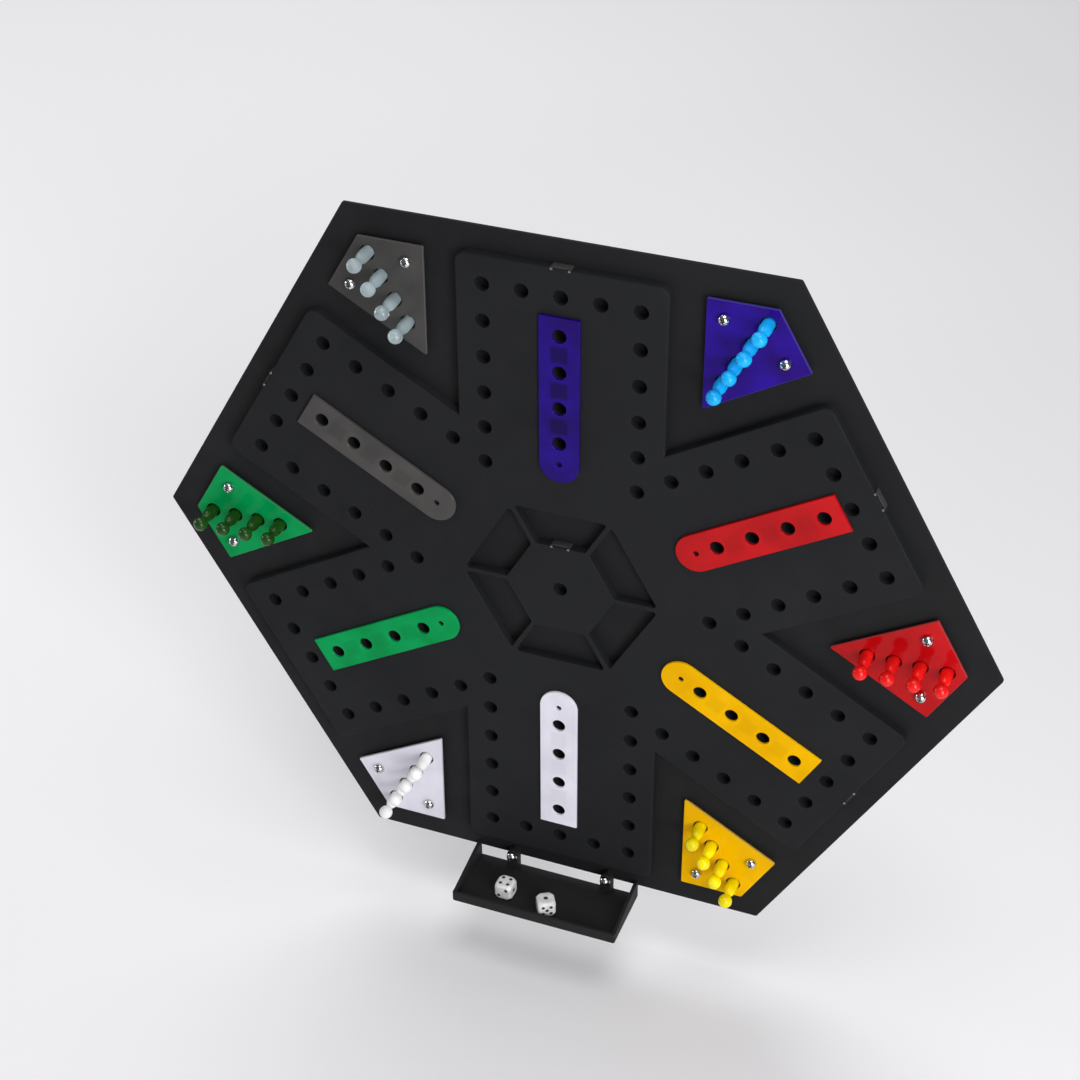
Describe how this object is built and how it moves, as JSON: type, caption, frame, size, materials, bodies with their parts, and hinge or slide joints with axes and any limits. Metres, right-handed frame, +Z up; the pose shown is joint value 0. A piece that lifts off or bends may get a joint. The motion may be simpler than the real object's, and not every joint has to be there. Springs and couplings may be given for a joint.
{
  "type": "peg board game",
  "caption": "Hexagonal wall-hung peg board game: armed track plate, coloured start plates and home strips, pull-out pegs, and a front tray with loose dice.",
  "frame": {"origin": "centre of the base plate's back face, on the wall", "axes": "+X to the player's right, +Z up, -Y out of the wall towards the player"},
  "size_m": [0.6818, 0.0626, 0.6033],
  "materials": {
    "base_black": "matte",
    "track_black": "matte",
    "spacer_black": "matte",
    "tray_black": "matte",
    "pad_dark": "matte",
    "clip_steel": "satin",
    "screw_chrome": "polished",
    "die_white": "satin",
    "acrylic_blue": "satin acrylic",
    "peg_blue": "polished acrylic",
    "acrylic_red": "satin acrylic",
    "peg_red": "polished acrylic",
    "acrylic_yellow": "satin acrylic",
    "peg_yellow": "polished acrylic",
    "acrylic_white": "satin acrylic",
    "peg_white": "polished acrylic",
    "acrylic_green": "satin acrylic",
    "peg_green": "polished acrylic",
    "acrylic_grey": "satin acrylic",
    "peg_grey": "polished acrylic"
  },
  "bodies": {
    "board": {"base_plate": "base_black", "track_plate": "track_black", "strip_pads": "pad_dark", "edge_clips": "clip_steel", "dice_tray": "tray_black", "tray_screws": "screw_chrome", "home_strip_blue": "acrylic_blue", "start_spacer_blue": "spacer_black", "start_plate_blue": "acrylic_blue", "start_screws_blue": "screw_chrome", "home_strip_red": "acrylic_red", "start_spacer_red": "spacer_black", "start_plate_red": "acrylic_red", "start_screws_red": "screw_chrome", "home_strip_yellow": "acrylic_yellow", "start_spacer_yellow": "spacer_black", "start_plate_yellow": "acrylic_yellow", "start_screws_yellow": "screw_chrome", "home_strip_white": "acrylic_white", "start_spacer_white": "spacer_black", "start_plate_white": "acrylic_white", "start_screws_white": "screw_chrome", "home_strip_green": "acrylic_green", "start_spacer_green": "spacer_black", "start_plate_green": "acrylic_green", "start_screws_green": "screw_chrome", "home_strip_grey": "acrylic_grey", "start_spacer_grey": "spacer_black", "start_plate_grey": "acrylic_grey", "start_screws_grey": "screw_chrome"},
    "peg_blue_1_body": {"peg_blue_1": "peg_blue"},
    "peg_blue_2_body": {"peg_blue_2": "peg_blue"},
    "peg_blue_3_body": {"peg_blue_3": "peg_blue"},
    "peg_blue_4_body": {"peg_blue_4": "peg_blue"},
    "peg_red_1_body": {"peg_red_1": "peg_red"},
    "peg_red_2_body": {"peg_red_2": "peg_red"},
    "peg_red_3_body": {"peg_red_3": "peg_red"},
    "peg_red_4_body": {"peg_red_4": "peg_red"},
    "peg_yellow_1_body": {"peg_yellow_1": "peg_yellow"},
    "peg_yellow_2_body": {"peg_yellow_2": "peg_yellow"},
    "peg_yellow_3_body": {"peg_yellow_3": "peg_yellow"},
    "peg_yellow_4_body": {"peg_yellow_4": "peg_yellow"},
    "peg_white_1_body": {"peg_white_1": "peg_white"},
    "peg_white_2_body": {"peg_white_2": "peg_white"},
    "peg_white_3_body": {"peg_white_3": "peg_white"},
    "peg_white_4_body": {"peg_white_4": "peg_white"},
    "peg_green_1_body": {"peg_green_1": "peg_green"},
    "peg_green_2_body": {"peg_green_2": "peg_green"},
    "peg_green_3_body": {"peg_green_3": "peg_green"},
    "peg_green_4_body": {"peg_green_4": "peg_green"},
    "peg_grey_1_body": {"peg_grey_1": "peg_grey"},
    "peg_grey_2_body": {"peg_grey_2": "peg_grey"},
    "peg_grey_3_body": {"peg_grey_3": "peg_grey"},
    "peg_grey_4_body": {"peg_grey_4": "peg_grey"},
    "die_1_body": {"die_1": "die_white"},
    "die_2_body": {"die_2": "die_white"}
  },
  "joints": [
    {"name": "peg_blue_1_pull", "type": "slide", "parent": "board", "child": "peg_blue_1_body", "axis": [0, -1, 0], "range_m": [0, 0.045]},
    {"name": "peg_blue_2_pull", "type": "slide", "parent": "board", "child": "peg_blue_2_body", "axis": [0, -1, 0], "range_m": [0, 0.045]},
    {"name": "peg_blue_3_pull", "type": "slide", "parent": "board", "child": "peg_blue_3_body", "axis": [0, -1, 0], "range_m": [0, 0.045]},
    {"name": "peg_blue_4_pull", "type": "slide", "parent": "board", "child": "peg_blue_4_body", "axis": [0, -1, 0], "range_m": [0, 0.045]},
    {"name": "peg_red_1_pull", "type": "slide", "parent": "board", "child": "peg_red_1_body", "axis": [0, -1, 0], "range_m": [0, 0.045]},
    {"name": "peg_red_2_pull", "type": "slide", "parent": "board", "child": "peg_red_2_body", "axis": [0, -1, 0], "range_m": [0, 0.045]},
    {"name": "peg_red_3_pull", "type": "slide", "parent": "board", "child": "peg_red_3_body", "axis": [0, -1, 0], "range_m": [0, 0.045]},
    {"name": "peg_red_4_pull", "type": "slide", "parent": "board", "child": "peg_red_4_body", "axis": [0, -1, 0], "range_m": [0, 0.045]},
    {"name": "peg_yellow_1_pull", "type": "slide", "parent": "board", "child": "peg_yellow_1_body", "axis": [0, -1, 0], "range_m": [0, 0.045]},
    {"name": "peg_yellow_2_pull", "type": "slide", "parent": "board", "child": "peg_yellow_2_body", "axis": [0, -1, 0], "range_m": [0, 0.045]},
    {"name": "peg_yellow_3_pull", "type": "slide", "parent": "board", "child": "peg_yellow_3_body", "axis": [0, -1, 0], "range_m": [0, 0.045]},
    {"name": "peg_yellow_4_pull", "type": "slide", "parent": "board", "child": "peg_yellow_4_body", "axis": [0, -1, 0], "range_m": [0, 0.045]},
    {"name": "peg_white_1_pull", "type": "slide", "parent": "board", "child": "peg_white_1_body", "axis": [0, -1, 0], "range_m": [0, 0.045]},
    {"name": "peg_white_2_pull", "type": "slide", "parent": "board", "child": "peg_white_2_body", "axis": [0, -1, 0], "range_m": [0, 0.045]},
    {"name": "peg_white_3_pull", "type": "slide", "parent": "board", "child": "peg_white_3_body", "axis": [0, -1, 0], "range_m": [0, 0.045]},
    {"name": "peg_white_4_pull", "type": "slide", "parent": "board", "child": "peg_white_4_body", "axis": [0, -1, 0], "range_m": [0, 0.045]},
    {"name": "peg_green_1_pull", "type": "slide", "parent": "board", "child": "peg_green_1_body", "axis": [0, -1, 0], "range_m": [0, 0.045]},
    {"name": "peg_green_2_pull", "type": "slide", "parent": "board", "child": "peg_green_2_body", "axis": [0, -1, 0], "range_m": [0, 0.045]},
    {"name": "peg_green_3_pull", "type": "slide", "parent": "board", "child": "peg_green_3_body", "axis": [0, -1, 0], "range_m": [0, 0.045]},
    {"name": "peg_green_4_pull", "type": "slide", "parent": "board", "child": "peg_green_4_body", "axis": [0, -1, 0], "range_m": [0, 0.045]},
    {"name": "peg_grey_1_pull", "type": "slide", "parent": "board", "child": "peg_grey_1_body", "axis": [0, -1, 0], "range_m": [0, 0.045]},
    {"name": "peg_grey_2_pull", "type": "slide", "parent": "board", "child": "peg_grey_2_body", "axis": [0, -1, 0], "range_m": [0, 0.045]},
    {"name": "peg_grey_3_pull", "type": "slide", "parent": "board", "child": "peg_grey_3_body", "axis": [0, -1, 0], "range_m": [0, 0.045]},
    {"name": "peg_grey_4_pull", "type": "slide", "parent": "board", "child": "peg_grey_4_body", "axis": [0, -1, 0], "range_m": [0, 0.045]},
    {"name": "die_1_lift", "type": "slide", "parent": "board", "child": "die_1_body", "axis": [0, 0, 1], "range_m": [0, 0.06]},
    {"name": "die_2_lift", "type": "slide", "parent": "board", "child": "die_2_body", "axis": [0, 0, 1], "range_m": [0, 0.06]}
  ]
}
